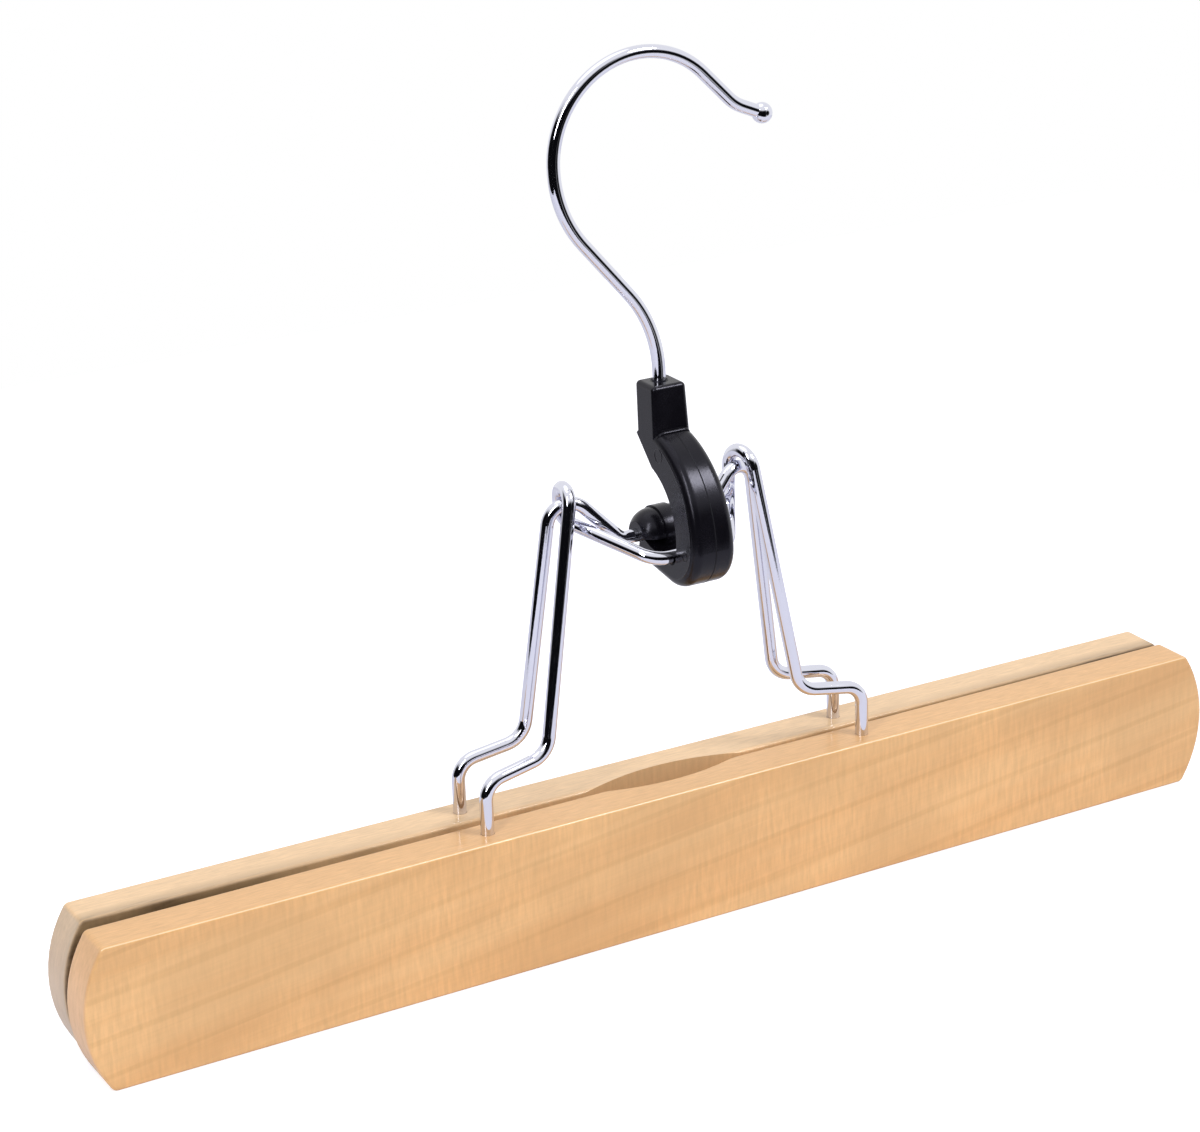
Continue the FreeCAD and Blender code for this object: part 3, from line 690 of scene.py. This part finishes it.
class HANGER_OT_cam_lever(Operator):
    """Gives the lever its moulded plastic, parting line, lips and ejector marks"""
    bl_idname = "hanger.cam_lever"
    bl_label = "Cam Lever"

    def execute(self, context):
        lever = context.scene.hanger_lever
        plastic = moulded_abs("moulded black ABS", lever, lever.black, PLASTIC_ROUGHNESS)
        # The parting line's darker colour is painted shade
        seam = moulded_abs("moulded black ABS parting line", lever, lever.seam_shade_colour, SEAM_ROUGHNESS)
        wear("cam_lever", plastic)
        self.parting_line(lever, seam)
        self.block_lip(lever, plastic)
        for name, side in SIDES.items():
            self.edge_lip(lever, plastic, name, side)
            for height, (place, radius) in EJECTOR_MARKS.items():
                self.ejector_mark(plastic, f"{height}_{name}", side, place, radius)
        return {"FINISHED"}

    def parting_line(self, lever, material):
        """The low ridge down the crown and toe, no further forward than the lever itself, darker in painted
        shade.
        """
        shape = bmesh.new()
        half = lever.seam_width / 2
        rows = []
        foremost = CAD_BOX[0][1]
        for back, up, out_back, out_up in nose_path(-SEAM_CLEARANCE, SEAM_START, SEAM_END, SEAM_STEPS):
            low = Vector((0, back * MM, up * MM))
            high = low + Vector((0, out_back, out_up)) * SEAM_RISE * MM
            low.y = max(low.y, foremost)
            high.y = max(high.y, foremost)
            rows.append([
                shape.verts.new(low + Vector((-half, 0, 0))),
                shape.verts.new(high),
                shape.verts.new(low + Vector((half, 0, 0))),
            ])
        for before, after in zip(rows, rows[1:]):
            for i in range(2):
                shape.faces.new((before[i], before[i + 1], after[i + 1], after[i]))
        bmesh.ops.recalc_face_normals(shape, faces=shape.faces)
        mesh_piece("lever_parting_line", shape, material, "lever")

    def block_lip(self, lever, material):
        """The raised lip across the crown where the block stands on it."""
        angle = math.radians(BLOCK_LIP_ANGLE)
        outward = Vector((0, math.cos(angle), math.sin(angle)))
        along_crown = Vector((0, outward.z, -outward.y))
        side = half_width(CROWN_CENTRE[1] + CROWN_ROUND * outward.z)
        half = side - BLOCK_LIP_INSET
        stations = []
        for i in range(BLOCK_LIP_STEPS + 1):
            across = half * (2 * i / BLOCK_LIP_STEPS - 1)
            past_flat = max(0.0, abs(across) - (side - NOSE_ROUND))
            drop = NOSE_ROUND - math.sqrt(NOSE_ROUND ** 2 - past_flat ** 2)
            foot = Vector((across, CROWN_CENTRE[0], CROWN_CENTRE[1])) + outward * (CROWN_ROUND - drop)
            share = taper(i, BLOCK_LIP_STEPS, BLOCK_LIP_TAPER, BLOCK_LIP_TAPER)
            stations.append((foot * MM, lever.block_lip_round * share))
        shape = bead(stations, [outward] * len(stations), along_crown)
        mesh_piece("lever_block_lip", shape, material, "lever")

    def edge_lip(self, lever, material, name, side):
        """The raised lip along one side of the crown and toe."""
        inset = EDGE_LIP_SINK * lever.lip_round
        path = nose_path(NOSE_ROUND - EDGE_LIP_PROUD, EDGE_LIP_START, EDGE_LIP_END, EDGE_LIP_STEPS)
        stations = []
        outwards = []
        for i, (back, up, out_back, out_up) in enumerate(path):
            middle = Vector((side * (half_width(up) * MM - inset), back * MM, up * MM))
            share = taper(i, EDGE_LIP_STEPS, EDGE_LIP_TOP_TAPER, EDGE_LIP_LOW_TAPER)
            stations.append((middle, lever.lip_round * share))
            outwards.append(Vector((0, out_back, out_up)))
        shape = bead(stations, outwards, Vector((1, 0, 0)))
        mesh_piece(f"lever_edge_lip_{name}", shape, material, "lever")

    def ejector_mark(self, material, name, side, place, radius):
        """A round mark that a pin of the mould left on one side."""
        shape = bmesh.new()
        rings = []
        for past_radius, proud in MARK_PROFILE:
            ring = []
            for k in range(MARK_STEPS):
                turn = 2 * math.pi * k / MARK_STEPS
                back = place[0] + (radius + past_radius) * math.cos(turn)
                up = place[1] + (radius + past_radius) * math.sin(turn)
                ring.append(shape.verts.new(Vector((side * (half_width(up) + proud), back, up)) * MM))
            rings.append(ring)
        join_rings(shape, rings)
        bmesh.ops.recalc_face_normals(shape, faces=shape.faces)
        mesh_piece(f"lever_ejector_mark_{name}", shape, material, "lever")


class HANGER_OT_studio(Operator):
    """Sets the floor, the soft lamps, the world and the camera"""
    bl_idname = "hanger.studio"
    bl_label = "Studio"

    def execute(self, context):
        studio = context.scene.hanger_studio
        context.scene.view_settings.view_transform = "Standard"
        self.table(studio)
        self.world(context, studio)
        self.lamps(studio)
        self.camera(context, studio)
        return {"FINISHED"}

    # Pale matt floor: white to the eye, pale in the chrome, and still darkened by the shadow
    def floor_material(self, studio):
        material, tree = new_material("pale matt studio floor")
        eye, seen = background_rays(tree)
        mirrored = add_node(tree, "ShaderNodeMath", {0: seen, 1: SEEN_GLOW}, operation="MULTIPLY")
        glow = add_node(
            tree, "ShaderNodeMath", {0: eye, 1: EYE_GLOW, 2: mirrored.outputs[0]}, operation="MULTIPLY_ADD"
        )
        mottle = add_node(
            tree, "ShaderNodeTexNoise", {"Scale": (TABLE[1] - TABLE[0]) / studio.mottle_width}
        )
        tone = add_node(
            tree, "ShaderNodeMix",
            {0: mottle.outputs["Fac"], 6: tuple(studio.floor), 7: tuple(studio.mottle)},
            data_type="RGBA",
        )
        shader = add_node(
            tree, "ShaderNodeBsdfPrincipled",
            {"Base Color": tone.outputs[2], "Roughness": 0.9, "Emission Color": WHITE,
             "Emission Strength": glow.outputs[0]},
        )
        add_node(tree, "ShaderNodeOutputMaterial", {"Surface": shader.outputs[0]})
        return material

    def table(self, studio):
        """The floor that the hanger stands on, a table top with round corners."""
        shape = bmesh.new()
        left, right, near, far = TABLE
        rim = []
        for across, back, quarter in ((right, far, 0), (left, far, 1), (left, near, 2), (right, near, 3)):
            middle = Vector((
                across - math.copysign(TABLE_CORNER, across),
                back - math.copysign(TABLE_CORNER, back),
                0.0,
            ))
            for k in range(CORNER_STEPS + 1):
                turn = math.pi / 2 * (quarter + k / CORNER_STEPS)
                spoke = Vector((math.cos(turn), math.sin(turn), 0.0))
                rim.append(shape.verts.new(middle + TABLE_CORNER * spoke))
        shape.faces.new(rim)
        mesh = bpy.data.meshes.new("studio_floor")
        shape.to_mesh(mesh)
        shape.free()
        mesh.materials.append(self.floor_material(studio))
        floor = bpy.data.objects.new("studio_floor", mesh)
        floor.location.z = CAD_BOX[0][2]
        bpy.context.scene.collection.objects.link(floor)

    def world(self, context, studio):
        """White to the eye, soft light all round, and a dark room for the chrome to mirror."""
        world = bpy.data.worlds.new("white studio")
        context.scene.world = world
        world.use_nodes = True
        tree = world.node_tree
        tree.nodes.clear()
        eye, seen = background_rays(tree)
        way = add_node(tree, "ShaderNodeTexCoord")
        split = add_node(tree, "ShaderNodeSeparateXYZ", {0: way.outputs["Generated"]})
        below = add_node(
            tree, "ShaderNodeMapRange",
            {"Value": split.outputs["Z"], "From Min": FRONT_TOP[0], "From Max": FRONT_TOP[1]},
            interpolation_type="SMOOTHSTEP",
        )
        parts = []
        for heading, edge in ((FRONT_LEFT, FRONT_EDGE), (DOORWAY, DOOR_EDGE)):
            toward = add_node(
                tree, "ShaderNodeVectorMath", {0: way.outputs["Generated"], 1: heading},
                operation="DOT_PRODUCT",
            )
            within = add_node(
                tree, "ShaderNodeMapRange",
                {"Value": toward.outputs["Value"], "From Min": edge[0], "From Max": edge[1]},
                interpolation_type="SMOOTHSTEP",
            )
            parts.append(within.outputs[0])
        ahead, doorway = parts
        front_left = add_node(
            tree, "ShaderNodeMath", {0: below.outputs[0], 1: ahead}, operation="MULTIPLY"
        )
        front = add_node(
            tree, "ShaderNodeMath", {0: front_left.outputs[0], 1: doorway}, operation="MAXIMUM"
        )
        unseen = add_node(tree, "ShaderNodeMath", {0: 1.0, 1: eye}, operation="SUBTRACT")
        dark = add_node(
            tree, "ShaderNodeMath", {0: front.outputs[0], 1: unseen.outputs[0]}, operation="MULTIPLY"
        )
        backdrop = add_node(
            tree, "ShaderNodeMix",
            {0: dark.outputs[0], 6: WHITE, 7: tuple(studio.room)},
            data_type="RGBA",
        )
        colour = add_node(
            tree, "ShaderNodeMix",
            {0: seen, 6: (studio.ambient, studio.ambient, studio.ambient, 1.0), 7: backdrop.outputs[2]},
            data_type="RGBA",
        )
        light = add_node(tree, "ShaderNodeBackground", {"Color": colour.outputs[2], "Strength": 1.0})
        add_node(tree, "ShaderNodeOutputWorld", {"Surface": light.outputs[0]})

    def lamps(self, studio):
        """Soft lamps, all turned to the middle of the hanger."""
        for name, (place, width, height, power) in LAMPS.items():
            lamp = bpy.data.lights.new(name, "AREA")
            lamp.shape = "ELLIPSE"
            lamp.size = width
            lamp.size_y = height
            lamp.energy = getattr(studio, power)
            holder = bpy.data.objects.new(name, lamp)
            holder.location = place
            holder.rotation_euler = (LAMP_AIM - Vector(place)).to_track_quat("-Z", "Y").to_euler()
            bpy.context.scene.collection.objects.link(holder)

    def camera(self, context, studio):
        """The camera, placed round its aim by two angles and a distance, and then tilted."""
        view = bpy.data.cameras.new("photo view")
        view.sensor_fit = "HORIZONTAL"
        view.sensor_width = SENSOR_WIDTH
        view.lens = studio.lens
        view.clip_start = NEAREST
        away = Vector((
            math.sin(studio.azimuth) * math.cos(studio.elevation),
            -math.cos(studio.azimuth) * math.cos(studio.elevation),
            math.sin(studio.elevation),
        ))
        right = (-away).cross(Vector((0, 0, 1))).normalized()
        above = right.cross(-away)
        across = math.cos(studio.roll) * right + math.sin(studio.roll) * above
        upright = -math.sin(studio.roll) * right + math.cos(studio.roll) * above
        turn = Matrix((across, upright, away)).transposed().to_4x4()
        camera = bpy.data.objects.new("photo view", view)
        camera.matrix_world = Matrix.Translation(Vector(studio.aim) + away * studio.distance) @ turn
        bpy.context.scene.collection.objects.link(camera)
        context.scene.camera = camera


class HANGER_PT_sidebar(Panel):
    """Lists the steps that dress the hanger"""
    bl_idname = "HANGER_PT_sidebar"
    bl_label = "Skirt Hanger"
    bl_space_type = "VIEW_3D"
    bl_region_type = "UI"
    bl_category = "Hanger"

    def draw(self, context):
        for operator in OPERATORS:
            self.layout.operator(operator.bl_idname)
        for name in GROUPS:
            settings = getattr(context.scene, name)
            box = self.layout.box()
            for key in settings.__annotations__:
                box.prop(settings, key)


OPERATORS = (HANGER_OT_clamp_bars, HANGER_OT_wire_pieces, HANGER_OT_cam_lever, HANGER_OT_studio)
GROUPS = {
    "hanger_wood": HangerWood,
    "hanger_wire": HangerWire,
    "hanger_lever": HangerLever,
    "hanger_studio": HangerStudio,
}
CLASSES = tuple(GROUPS.values()) + OPERATORS + (HANGER_PT_sidebar,)


def register():
    for kind in CLASSES:
        bpy.utils.register_class(kind)
    for name, group in GROUPS.items():
        setattr(bpy.types.Scene, name, PointerProperty(type=group))


def unregister():
    for name in GROUPS:
        delattr(bpy.types.Scene, name)
    for kind in reversed(CLASSES):
        bpy.utils.unregister_class(kind)


def main():
    register()
    bpy.ops.hanger.clamp_bars()
    bpy.ops.hanger.wire_pieces()
    bpy.ops.hanger.cam_lever()
    bpy.ops.hanger.studio()


if __name__ == "__main__":
    main()
